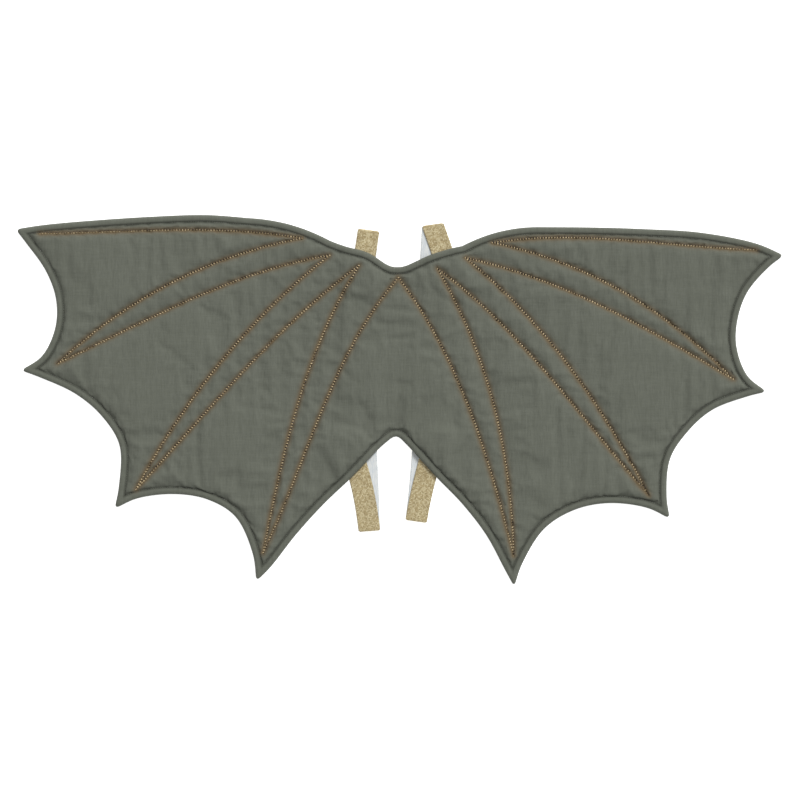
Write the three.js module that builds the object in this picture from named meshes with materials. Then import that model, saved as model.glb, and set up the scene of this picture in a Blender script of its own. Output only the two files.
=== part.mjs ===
// Child's costume dragon wings: a quilted front sewn to a plain back cloth along a scalloped outline,
// with two flat elastic arm loops behind. They lie flat, front up, shoulders towards +Y. Millimetres.
import * as THREE from 'three';

// Panel sizes
const wingSpan = 885; // between the corners of the two outer top tips
const wingDepth = 429; // shoulder line to the corner of the lowest tip
const neckDip = 62; // corner of the neck edge below the shoulder line
const hemRise = 175.8; // corner of the hem's notch above the lowest tip
const tipRounding = 6.5; // how much of each edge the rounding of a tip takes
const neckRounding = 10; // and of the neck notch
const hemRounding = 8; // and of the hem's notch
const shoulderRounding = 50; // and of a shoulder
const rimWidth = 8; // edge to the line of topstitching inside it
const rootInset = 18; // neck edge to the roots of the finger seams

// Thicknesses of the front with its wadding, and of the back
const edgeThickness = 1.2; // front at its outer edge
const rimThickness = 3.4; // front at the crest of the rim
const seamThickness = 1.6; // front where a seam holds it down
const puffThickness = 5.6; // front in the middle of a wide panel
const puffReach = 26; // from a seam to the full puff
const backThickness = 1.2;
const clothGap = 0.3; // clearance between pieces that touch

// Elastic arm loops
const strapWidth = 25;
const strapThickness = 1.2;
const strapLayerGap = 0.6; // between the two layers of a folded loop
const strapSpacing = 74; // between the loops' middles at the neck
const strapRise = 46; // upper folds above the neck notch
const strapDrop = 100; // lower folds below the hem notch
const drapeMargin = 3; // cloth still flat beyond the edge of an elastic under it
const drapeReach = 18; // from there to where the cloth lies on the floor again

// Spacing of the facets
const edgeStep = 12;
const seamStep = 18;
const seamShoulder = 5; // row of corners beside each seam
const fillStep = 24;
const backFillStep = 40;
const strapStep = 22;
const foldSteps = 5;
const cornerSteps = 4; // at least, round each corner of the outline

// Corners of the outline, y down from the shoulder line
const halfSpan = wingSpan / 2;
const corners = {
  neck: [0, -neckDip],
  shoulderLeft: [-0.284 * halfSpan, -0.015 * wingDepth],
  tip1Left: [-1.002 * halfSpan, -0.04 * wingDepth],
  tip2Left: [-0.988 * halfSpan, -0.419 * wingDepth],
  tip3Left: [-0.744 * halfSpan, -0.79 * wingDepth],
  tip4Left: [-0.375 * halfSpan, -0.985 * wingDepth],
  hem: [-0.011 * halfSpan, hemRise - wingDepth],
  tip4Right: [0.296 * halfSpan, -1.0 * wingDepth],
  tip3Right: [0.701 * halfSpan, -0.817 * wingDepth],
  tip2Right: [0.953 * halfSpan, -0.476 * wingDepth],
  tip1Right: [0.998 * halfSpan, -0.11 * wingDepth],
  shoulderRight: [0.259 * halfSpan, -0.031 * wingDepth],
};

// Edges in order round the outline. An edge sags inward by these shares of its chord, at the places
// along it in sagPlaces, and bulges outward where the share is negative.
const sagPlaces = { near: 0.1, early: 0.3, middle: 0.5, late: 0.7, far: 0.9 };
const edges = [
  { from: 'neck', to: 'shoulderLeft', near: 0.019, early: -0.007, middle: 0.02, late: 0.028, far: 0.012 },
  { from: 'shoulderLeft', to: 'tip1Left', near: -0.006, early: -0.028, middle: -0.029, late: -0.023, far: -0.012 },
  { from: 'tip1Left', to: 'tip2Left', near: 0.071, early: 0.202, middle: 0.267, late: 0.257, far: 0.156 },
  { from: 'tip2Left', to: 'tip3Left', near: 0.072, early: 0.192, middle: 0.248, late: 0.238, far: 0.1 },
  { from: 'tip3Left', to: 'tip4Left', near: 0.124, early: 0.256, middle: 0.318, late: 0.3, far: 0.144 },
  { from: 'tip4Left', to: 'hem', near: -0.002, early: 0.017, middle: 0.022, late: 0.013, far: 0.012 },
  { from: 'hem', to: 'tip4Right', near: 0.012, early: 0.028, middle: 0.05, late: 0.049, far: 0.016 },
  { from: 'tip4Right', to: 'tip3Right', near: 0.108, early: 0.243, middle: 0.273, late: 0.231, far: 0.114 },
  { from: 'tip3Right', to: 'tip2Right', near: 0.101, early: 0.226, middle: 0.242, late: 0.203, far: 0.08 },
  { from: 'tip2Right', to: 'tip1Right', near: 0.156, early: 0.26, middle: 0.276, late: 0.231, far: 0.1 },
  { from: 'tip1Right', to: 'shoulderRight', near: -0.031, early: -0.049, middle: -0.041, late: -0.026, far: -0.007 },
  { from: 'shoulderRight', to: 'neck', near: 0.014, early: 0.046, middle: 0.016, late: -0.004, far: -0.001 },
];

// Roots of the finger seams: a share of the way from the neck to the shoulder, and a share of
// rootInset below the neck edge there
const roots = {
  middle: { shoulder: 'shoulderLeft', along: 0.02, below: 0.68 },
  rootALeft: { shoulder: 'shoulderLeft', along: 0.9, below: 0.88 },
  rootBLeft: { shoulder: 'shoulderLeft', along: 0.65, below: 1.19 },
  rootCLeft: { shoulder: 'shoulderLeft', along: 0.38, below: 1.03 },
  rootARight: { shoulder: 'shoulderRight', along: 0.92, below: 0.88 },
  rootBRight: { shoulder: 'shoulderRight', along: 0.65, below: 1.12 },
  rootCRight: { shoulder: 'shoulderRight', along: 0.37, below: 1.06 },
};

// Outer ends of the finger seams, short of the tips, in the same terms as the corners
const seamEnds = {
  end1Left: [-0.938 * halfSpan, -0.052 * wingDepth],
  end2Left: [-0.891 * halfSpan, -0.4 * wingDepth],
  end3Left: [-0.688 * halfSpan, -0.738 * wingDepth],
  end4Left: [-0.358 * halfSpan, -0.908 * wingDepth],
  end1Right: [0.925 * halfSpan, -0.096 * wingDepth],
  end2Right: [0.865 * halfSpan, -0.443 * wingDepth],
  end3Right: [0.645 * halfSpan, -0.753 * wingDepth],
  end4Right: [0.294 * halfSpan, -0.916 * wingDepth],
};

// Finger seams, from root to end. Each bows towards its wing's tip by these shares of its length: at a
// third of the way, then at two thirds.
const seamRows = [
  { root: 'rootA', end: 'end1', bowsLeft: [0.051, 0.008], bowsRight: [0.062, 0.0] },
  { root: 'rootA', end: 'end2', bowsLeft: [0.098, 0.095], bowsRight: [0.109, 0.099] },
  { root: 'rootB', end: 'end2', bowsLeft: [0.072, 0.02], bowsRight: [0.073, 0.037] },
  { root: 'rootB', end: 'end3', bowsLeft: [0.072, 0.066], bowsRight: [0.081, 0.059] },
  { root: 'rootC', end: 'end3', bowsLeft: [0.052, 0.01], bowsRight: [0.064, 0.008] },
  { root: 'rootC', end: 'end4', bowsLeft: [0.083, 0.041], bowsRight: [0.094, 0.08] },
  { root: 'middle', end: 'end4', bowsLeft: [0.086, 0.001], bowsRight: [0.086, 0.049] },
];
const wingSides = [
  { suffix: 'Left', turn: -1 },
  { suffix: 'Right', turn: 1 },
];

// Route of each arm loop. across is a share of strapSpacing from the middle line, reach is a share
// of strapRise above the neck notch or of strapDrop below the hem notch. lean is in degrees from the
// upward direction, towards +X. At a fold the front layer leans by split more, the rear by as much less.
const straps = {
  strap_left: {
    upperEnd: { across: -0.61, reach: -0.26, lean: 8, split: 0 },
    upperFold: { across: -0.497, reach: 0.929, lean: 8, split: 0 },
    lowerFold: { across: -0.485, reach: 1.103, lean: -4, split: -3 },
    lowerEnd: { across: -0.8, reach: 0.148, lean: -24, split: 0 },
  },
  strap_right: {
    upperEnd: { across: 0.8, reach: -0.26, lean: -20, split: 0 },
    upperFold: { across: 0.505, reach: 1.067, lean: -8, split: -12 },
    lowerFold: { across: 0.246, reach: 0.991, lean: 8, split: 1 },
    lowerEnd: { across: 0.52, reach: 0.108, lean: 14, split: 0 },
  },
};

const fabricOlive = new THREE.Color().setRGB(0.42, 0.43, 0.39, THREE.SRGBColorSpace);
const elasticGold = new THREE.Color().setRGB(0.73, 0.66, 0.52, THREE.SRGBColorSpace);

const toVector = ([x, y]) => new THREE.Vector2(x, y);

// A spline along one edge of the outline, from corner to corner
function edgeCurve(edge) {
  const start = toVector(corners[edge.from]);
  const end = toVector(corners[edge.to]);
  const chord = end.clone().sub(start);
  const inward = new THREE.Vector2(-chord.y, chord.x);
  const points = [start];
  for (const [place, share] of Object.entries(sagPlaces)) {
    points.push(start.clone().addScaledVector(chord, share).addScaledVector(inward, edge[place]));
  }
  points.push(end);
  const raised = points.map((point) => new THREE.Vector3(point.x, point.y, 0));
  return new THREE.CatmullRomCurve3(raised, false, 'centripetal');
}

// Points at an even step along a curve, without those nearer to its two ends than the trims
function stationsAlong(curve, step, trimStart = 0, trimEnd = 0) {
  const length = curve.getLength();
  const span = length - trimStart - trimEnd;
  const count = Math.max(2, Math.round(span / step));
  const stations = [];
  for (let i = 0; i <= count; i += 1) {
    const share = Math.min(1, (trimStart + (span * i) / count) / length);
    const at = curve.getPointAt(share);
    const tangent = curve.getTangentAt(share);
    stations.push({
      at: new THREE.Vector2(at.x, at.y),
      left: new THREE.Vector2(-tangent.y, tangent.x),
    });
  }
  return stations;
}

// The outline, anticlockwise: every corner is rounded between the trimmed ends of its two edges
const roundings = {
  neck: neckRounding,
  hem: hemRounding,
  shoulderLeft: shoulderRounding,
  shoulderRight: shoulderRounding,
};
const roundingOf = (name) => roundings[name] ?? tipRounding;
const edgeStations = edges.map((edge) =>
  stationsAlong(edgeCurve(edge), edgeStep, roundingOf(edge.from), roundingOf(edge.to)),
);
const outlineStations = edgeStations.flatMap((stations, i) => {
  const before = edgeStations.at(i - 1).at(-1).at;
  const round = new THREE.QuadraticBezierCurve(before, toVector(corners[edges[i].from]), stations[0].at);
  const step = Math.min(edgeStep, round.getLength() / cornerSteps);
  return [...stationsAlong(round, step).slice(1, -1), ...stations];
});
const outline = outlineStations.map((station) => station.at);

function distanceToPath(point, path, closed) {
  let nearest = Infinity;
  const last = closed ? path.length : path.length - 1;
  for (let i = 0; i < last; i += 1) {
    const a = path[i];
    const b = path[(i + 1) % path.length];
    const dx = b.x - a.x;
    const dy = b.y - a.y;
    const along = ((point.x - a.x) * dx + (point.y - a.y) * dy) / (dx * dx + dy * dy);
    const t = THREE.MathUtils.clamp(along, 0, 1);
    nearest = Math.min(nearest, Math.hypot(point.x - a.x - t * dx, point.y - a.y - t * dy));
  }
  return nearest;
}

function isInside(point) {
  let inside = false;
  for (let i = 0, j = outline.length - 1; i < outline.length; j = i, i += 1) {
    const a = outline[i];
    const b = outline[j];
    if (a.y > point.y !== b.y > point.y) {
      const crossing = a.x + ((point.y - a.y) * (b.x - a.x)) / (b.y - a.y);
      if (point.x < crossing) inside = !inside;
    }
  }
  return inside;
}

// Finger seams as curves, from the neck to the tips
function rootPoint(name) {
  const { shoulder, along, below } = roots[name];
  const onEdge = toVector(corners.neck).lerp(toVector(corners[shoulder]), along);
  return onEdge.setY(onEdge.y - below * rootInset);
}

function seamCurve(row, wing) {
  const start = rootPoint(roots[row.root] ? row.root : row.root + wing.suffix);
  const end = toVector(seamEnds[row.end + wing.suffix]);
  const chord = end.clone().sub(start);
  const outward = new THREE.Vector2(-chord.y, chord.x).multiplyScalar(wing.turn);
  const [bowAtRoot, bowAtEnd] = row[`bows${wing.suffix}`];
  const nearRoot = start.clone().addScaledVector(chord, 1 / 3).addScaledVector(outward, bowAtRoot);
  const nearEnd = start.clone().addScaledVector(chord, 2 / 3).addScaledVector(outward, bowAtEnd);
  return new THREE.CubicBezierCurve(start, nearRoot, nearEnd, end);
}

const seamCurves = wingSides.flatMap((wing) => seamRows.map((row) => seamCurve(row, wing)));
const seamStations = seamCurves.map((curve) => stationsAlong(curve, seamStep));
const seamPaths = seamStations.map((stations) => stations.map((station) => station.at));

// Arm loops: the middle line of each layer, seen from above
const hemLevel = hemRise - wingDepth;

function strapCorner(row, isUpper, splitSide) {
  const y = isUpper ? row.reach * strapRise - neckDip : hemLevel - row.reach * strapDrop;
  const lean = THREE.MathUtils.degToRad(row.lean + splitSide * row.split);
  return {
    at: new THREE.Vector2(row.across * strapSpacing, y),
    upward: new THREE.Vector2(Math.sin(lean), Math.cos(lean)),
  };
}

// Both corners keep their lean, so the layer bends only within its own plane
function layerStations(lower, upper, step) {
  const handle = lower.at.distanceTo(upper.at) / 3;
  const curve = new THREE.CubicBezierCurve(
    lower.at,
    lower.at.clone().addScaledVector(lower.upward, handle),
    upper.at.clone().addScaledVector(upper.upward, -handle),
    upper.at,
  );
  return stationsAlong(curve, step);
}

const rearMiddle = strapThickness / 2;
const frontMiddle = rearMiddle + strapThickness + strapLayerGap;

function strapLayers({ upperEnd, upperFold, lowerFold, lowerEnd }) {
  const frontBelow = [strapCorner(lowerFold, false, 1), strapCorner(lowerEnd, false, 1)];
  const frontAbove = [strapCorner(upperEnd, true, 1), strapCorner(upperFold, true, 1)];
  const behind = [strapCorner(lowerFold, false, -1), strapCorner(upperFold, true, -1)];
  return {
    lowerFront: layerStations(...frontBelow, strapStep / 2),
    rear: layerStations(...behind, strapStep),
    upperFront: layerStations(...frontAbove, strapStep / 2),
  };
}

const loops = Object.fromEntries(
  Object.entries(straps).map(([name, rows]) => [name, strapLayers(rows)]),
);

// How high the panel's underside is lifted by the elastic that lies under it
const layerTops = {
  rear: rearMiddle + strapThickness / 2 + clothGap,
  lowerFront: frontMiddle + strapThickness / 2 + clothGap,
  upperFront: frontMiddle + strapThickness / 2 + clothGap,
};
const layerPaths = Object.values(loops).flatMap((layers) =>
  Object.entries(layers).map(([layer, stations]) => ({
    top: layerTops[layer],
    path: stations.map((station) => station.at),
  })),
);

function liftAt(point) {
  let lift = 0;
  for (const { top, path } of layerPaths) {
    const beyond = distanceToPath(point, path, false) - strapWidth / 2 - drapeMargin;
    lift = Math.max(lift, top * (1 - THREE.MathUtils.smoothstep(beyond, 0, drapeReach)));
  }
  return lift;
}

// Thickness of the quilted front: a rounded rim, then puffs between the seams
function frontThicknessAt(point) {
  const fromEdge = distanceToPath(point, outline, true);
  if (fromEdge < rimWidth) {
    const share = fromEdge / rimWidth;
    const flat = THREE.MathUtils.lerp(edgeThickness, seamThickness, share);
    return flat + (rimThickness - flat) * Math.sin(Math.PI * share);
  }
  const fromSeams = seamPaths.map((path) => distanceToPath(point, path, false));
  const free = Math.min(fromEdge - rimWidth, ...fromSeams) / puffReach;
  const slack = 1 - Math.min(free, 1);
  return seamThickness + (puffThickness - seamThickness) * (1 - slack * slack);
}

// Corners of the facets: each list is added where it keeps its distance to those already there
function addSpaced(points, candidates, spacing, fromEdge) {
  for (const candidate of candidates) {
    const isFree = points.every((point) => point.distanceTo(candidate) >= spacing);
    if (isFree && isInside(candidate) && distanceToPath(candidate, outline, true) >= fromEdge) {
      points.push(candidate);
    }
  }
}

function insetFromEdge(inset) {
  return outlineStations.map(({ at, left }) => at.clone().addScaledVector(left, inset));
}

// Where the topstitching of two neighbouring edges meets, inside each corner
function insetCorners(inset) {
  return edges.map((edge, i) => {
    const after = edgeStations[i][0].left;
    const before = edgeStations.at(i - 1).at(-1).left;
    const half = after.clone().add(before);
    const reach = (2 * inset) / half.lengthSq();
    return toVector(corners[edge.from]).addScaledVector(half, reach);
  });
}

function besideSeams(offset) {
  return seamStations.flatMap((stations) =>
    stations.flatMap(({ at, left }) => [
      at.clone().addScaledVector(left, offset),
      at.clone().addScaledVector(left, -offset),
    ]),
  );
}

// The stations of a layer, and two more past each end, where the cloth over it comes down
function withRunOff(stations) {
  const beyond = ({ at, left }, distance) => {
    const upward = new THREE.Vector2(left.y, -left.x);
    return { at: at.clone().addScaledVector(upward, distance), left };
  };
  const first = stations[0];
  const last = stations.at(-1);
  const runOff = [drapeMargin, drapeMargin + drapeReach];
  return [
    ...stations,
    ...runOff.map((distance) => beyond(last, distance)),
    ...runOff.map((distance) => beyond(first, -distance)),
  ];
}

function overStraps() {
  const flatEdge = strapWidth / 2 + drapeMargin;
  const rows = [[0, flatEdge, -flatEdge], [flatEdge + drapeReach, -flatEdge - drapeReach]];
  const layers = Object.values(loops).flatMap((loop) => [loop.upperFront, loop.lowerFront, loop.rear]);
  return rows.flatMap((offsets) =>
    layers.flatMap((stations) =>
      withRunOff(stations).flatMap(({ at, left }) =>
        offsets.map((offset) => at.clone().addScaledVector(left, offset)),
      ),
    ),
  );
}

// Staggered rows over the whole panel
function fillPoints(step) {
  const candidates = [];
  const rowStep = step * Math.sin(Math.PI / 3);
  const rowCount = Math.ceil(wingDepth / rowStep);
  const half = Math.ceil(halfSpan / step);
  for (let row = 0; row < rowCount; row += 1) {
    for (let i = -half; i <= half; i += 1) {
      const stagger = row % 2 === 0 ? 0 : 0.5;
      candidates.push(new THREE.Vector2((i + stagger) * step, -(row + 0.5) * rowStep));
    }
  }
  return candidates;
}

function frontPoints() {
  const points = outline.slice();
  const rimCrest = 0.45 * rimWidth;
  addSpaced(points, insetFromEdge(rimCrest), 0.9 * rimCrest, 0.97 * rimCrest);
  addSpaced(points, insetCorners(rimWidth), 0.4 * rimWidth, 0.9 * rimWidth);
  addSpaced(points, insetFromEdge(rimWidth), 0.5 * rimWidth, 0.97 * rimWidth);
  const insideRim = rimWidth + seamShoulder / 2;
  addSpaced(points, seamPaths.flat(), 0.7 * seamShoulder, insideRim);
  addSpaced(points, besideSeams(seamShoulder), 0.9 * seamShoulder, insideRim);
  addSpaced(points, insetFromEdge(rimWidth + seamShoulder), 1.8 * seamShoulder, insideRim);
  addSpaced(points, overStraps(), 1.8 * seamShoulder, insideRim);
  addSpaced(points, fillPoints(fillStep), 0.62 * fillStep, insideRim);
  return points;
}

function backPoints() {
  const points = outline.slice();
  addSpaced(points, overStraps(), 0.7 * edgeStep, 0.6 * edgeStep);
  addSpaced(points, fillPoints(backFillStep), 0.6 * backFillStep, 1.2 * edgeStep);
  return points;
}

// Circle through three corners, to test which triangles a new corner falls into
function circleThrough(a, b, c) {
  const abx = b.x - a.x;
  const aby = b.y - a.y;
  const acx = c.x - a.x;
  const acy = c.y - a.y;
  const twice = 2 * (abx * acy - aby * acx);
  const ab = abx * abx + aby * aby;
  const ac = acx * acx + acy * acy;
  const dx = (acy * ab - aby * ac) / twice;
  const dy = (abx * ac - acx * ab) / twice;
  return { x: a.x + dx, y: a.y + dy, radiusSq: dx * dx + dy * dy };
}

// Joins the points into well shaped triangles and keeps those inside the outline
function triangulate(points) {
  const far = 20 * wingSpan;
  const all = [
    ...points,
    new THREE.Vector2(-far, -far),
    new THREE.Vector2(far, -far),
    new THREE.Vector2(0, far),
  ];
  const makeTriangle = (corner) => ({ corner, circle: circleThrough(...corner.map((i) => all[i])) });
  const first = points.length;
  let triangles = [makeTriangle([first, first + 1, first + 2])];
  points.forEach((point, index) => {
    const rim = new Map();
    const kept = [];
    for (const triangle of triangles) {
      const { x, y, radiusSq } = triangle.circle;
      if ((point.x - x) ** 2 + (point.y - y) ** 2 >= radiusSq) {
        kept.push(triangle);
        continue;
      }
      const [a, b, c] = triangle.corner;
      for (const [from, to] of [[a, b], [b, c], [c, a]]) {
        if (!rim.delete(`${to}_${from}`)) rim.set(`${from}_${to}`, [from, to]);
      }
    }
    for (const [from, to] of rim.values()) kept.push(makeTriangle([from, to, index]));
    triangles = kept;
  });
  return triangles
    .map((triangle) => triangle.corner)
    .filter((corner) => Math.max(...corner) < first)
    .filter(([a, b, c]) => isInside(all[a].clone().add(all[b]).add(all[c]).divideScalar(3)));
}

function sheetMesh(points, heightAt) {
  return { points, heights: points.map(heightAt), triangles: triangulate(points) };
}

// A closed body between two surfaces that share the outline's corners
function bodyBetween(upper, lower) {
  const positions = [];
  for (const surface of [upper, lower]) {
    surface.points.forEach((point, i) => positions.push(point.x, point.y, surface.heights[i]));
  }
  const under = upper.points.length;
  const indices = upper.triangles.flat();
  for (const [a, b, c] of lower.triangles) indices.push(under + a, under + c, under + b);
  for (let i = 0; i < outline.length; i += 1) {
    const next = (i + 1) % outline.length;
    indices.push(i, under + i, under + next, i, under + next, next);
  }
  return facetedGeometry(positions, indices);
}

function facetedGeometry(positions, indices) {
  const geometry = new THREE.BufferGeometry();
  geometry.setAttribute('position', new THREE.Float32BufferAttribute(positions, 3));
  geometry.setIndex(indices);
  geometry.computeVertexNormals();
  return geometry;
}

// Section of a layer that lies flat: its middle, the direction across its width, and the direction
// that the elastic's outer face looks in
function flatSection({ at, left }, height, outer) {
  return {
    middle: new THREE.Vector3(at.x, at.y, height),
    across: new THREE.Vector3(left.x, left.y, 0),
    outer: new THREE.Vector3(0, 0, outer),
  };
}

// Sections round a fold, from the rear layer to the front one
function foldSections(row, isUpper) {
  const { at, upward } = strapCorner(row, isUpper, 0);
  const outward = new THREE.Vector3(upward.x, upward.y, 0).multiplyScalar(isUpper ? 1 : -1);
  const radius = (frontMiddle - rearMiddle) / 2;
  const sections = [];
  for (let i = 0; i <= foldSteps; i += 1) {
    const angle = Math.PI * (i / foldSteps - 0.5);
    const outer = outward.clone().multiplyScalar(Math.cos(angle)).setZ(Math.sin(angle));
    const middle = new THREE.Vector3(at.x, at.y, rearMiddle + radius).addScaledVector(outer, radius);
    sections.push({ middle, across: new THREE.Vector3(-upward.y, upward.x, 0), outer });
  }
  return sections;
}

// Sections of a whole loop, from the sewn end below, round the rear layer, to the sewn end above
function strapSections(rows, layers) {
  return [
    ...layers.lowerFront.slice(1).map((station) => flatSection(station, frontMiddle, 1)).reverse(),
    ...foldSections(rows.lowerFold, false).reverse(),
    ...layers.rear.slice(1, -1).map((station) => flatSection(station, rearMiddle, -1)),
    ...foldSections(rows.upperFold, true),
    ...layers.upperFront.slice(0, -1).map((station) => flatSection(station, frontMiddle, 1)).reverse(),
  ];
}

function strapGeometry(rows, layers) {
  const positions = [];
  const indices = [];
  const sections = strapSections(rows, layers);
  const sides = [[1, 1], [1, -1], [-1, -1], [-1, 1]];
  for (const { middle, across, outer } of sections) {
    for (const [acrossSide, outerSide] of sides) {
      const corner = middle.clone().addScaledVector(across, (acrossSide * strapWidth) / 2);
      corner.addScaledVector(outer, (outerSide * strapThickness) / 2);
      positions.push(corner.x, corner.y, corner.z);
    }
  }
  for (let i = 0; i < sections.length - 1; i += 1) {
    for (let side = 0; side < 4; side += 1) {
      const a = 4 * i + side;
      const b = 4 * i + ((side + 1) % 4);
      indices.push(a, b, a + 4, b, b + 4, a + 4);
    }
  }
  const last = 4 * (sections.length - 1);
  indices.push(0, 2, 1, 0, 3, 2, last, last + 1, last + 2, last, last + 2, last + 3);
  return facetedGeometry(positions, indices);
}

function addPiece(group, name, geometry, color, roughness) {
  const material = new THREE.MeshStandardMaterial({ color, roughness, metalness: 0 });
  const mesh = new THREE.Mesh(geometry, material);
  mesh.name = name;
  group.add(mesh);
}

const group = new THREE.Group();

const backSheet = backPoints();
const backUnder = sheetMesh(backSheet, liftAt);
const backOver = { ...backUnder, heights: backUnder.heights.map((z) => z + backThickness) };
addPiece(group, 'back_cloth', bodyBetween(backOver, backUnder), fabricOlive, 0.9);

const frontUnder = { ...backOver, heights: backOver.heights.map((z) => z + clothGap) };
const frontFloor = backThickness + clothGap;
const frontOver = sheetMesh(frontPoints(), (p) => liftAt(p) + frontFloor + frontThicknessAt(p));
addPiece(group, 'quilted_front', bodyBetween(frontOver, frontUnder), fabricOlive, 0.85);

for (const [name, layers] of Object.entries(loops)) {
  addPiece(group, name, strapGeometry(straps[name], layers), elasticGold, 0.45);
}

// The origin lies on the floor under the middle of the whole footprint
const footprint = new THREE.Box3().setFromObject(group).getCenter(new THREE.Vector3());
group.position.set(-footprint.x, -footprint.y, 0);

export default group;
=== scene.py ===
import math
import random
import bpy
import numpy as np
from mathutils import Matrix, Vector, kdtree, noise
from mathutils.geometry import delaunay_2d_cdt


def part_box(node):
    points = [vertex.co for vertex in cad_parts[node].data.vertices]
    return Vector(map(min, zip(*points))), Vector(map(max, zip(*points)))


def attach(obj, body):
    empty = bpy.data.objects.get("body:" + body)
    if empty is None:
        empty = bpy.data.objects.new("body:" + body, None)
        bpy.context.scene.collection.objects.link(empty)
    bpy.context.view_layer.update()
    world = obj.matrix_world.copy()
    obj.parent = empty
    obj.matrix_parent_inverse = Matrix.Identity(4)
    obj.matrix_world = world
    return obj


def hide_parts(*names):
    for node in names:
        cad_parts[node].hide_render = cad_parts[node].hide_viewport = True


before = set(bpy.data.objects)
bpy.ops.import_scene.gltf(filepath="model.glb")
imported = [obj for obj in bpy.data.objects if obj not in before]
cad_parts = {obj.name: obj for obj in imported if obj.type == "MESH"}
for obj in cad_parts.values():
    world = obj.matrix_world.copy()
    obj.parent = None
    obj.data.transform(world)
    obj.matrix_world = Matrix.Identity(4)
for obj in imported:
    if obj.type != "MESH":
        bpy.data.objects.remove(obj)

mm = 0.001
scene = bpy.context.scene
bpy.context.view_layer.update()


# small helpers

def shade(red, green, blue):
    # a colour as a monitor shows it, 0 to 255, turned into scene values
    values = [c / 255 for c in (red, green, blue)]
    return tuple(v / 12.92 if v < 0.04045 else ((v + 0.055) / 1.055) ** 2.4 for v in values) + (1.0,)


def evenly(line, step, trimStart=0.0, trimEnd=0.0):
    # points at an even step along a line, leaving the trims off its two ends
    run = np.concatenate([[0.0], np.cumsum(np.linalg.norm(np.diff(line, axis=0), axis=1))])
    count = max(2, round((run[-1] - trimStart - trimEnd) / step))
    at = np.linspace(trimStart, run[-1] - trimEnd, count + 1)
    return np.column_stack([np.interp(at, run, line[:, axis]) for axis in range(line.shape[1])])


def leftOf(line, closed=False):
    # unit direction to the left of travel at each point
    if closed:
        along = np.roll(line, -1, axis=0) - np.roll(line, 1, axis=0)
    else:
        along = np.gradient(line, axis=0)
    along = along / np.linalg.norm(along, axis=1)[:, None]
    return np.column_stack([-along[:, 1], along[:, 0]])


def smoothStep(value):
    value = np.clip(value, 0.0, 1.0)
    return value * value * (3 - 2 * value)


def treeOf(points):
    tree = kdtree.KDTree(len(points))
    for index, point in enumerate(points):
        tree.insert((point[0], point[1], 0.0), index)
    tree.balance()
    return tree


def nearestOn(tree, points):
    found = [tree.find((p[0], p[1], 0.0))[1:] for p in points]
    return np.array([f[1] for f in found]), np.array([f[0] for f in found])


def newObject(name, points, faces, *materials):
    mesh = bpy.data.meshes.new(name)
    mesh.from_pydata([tuple(p) for p in points], [], [tuple(int(i) for i in f) for f in faces])
    mesh.update()
    mesh.shade_smooth()
    for material in materials:
        mesh.materials.append(material)
    made = bpy.data.objects.new(name, mesh)
    scene.collection.objects.link(made)
    return made


def addValues(piece, name, values):
    # one number for each corner of the mesh, for its material to read
    layer = piece.data.attributes.new(name, "FLOAT", "POINT")
    layer.data.foreach_set("value", np.asarray(values, dtype=np.float32))


# the wing panel's lines, from the same sizes as the solids

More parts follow.
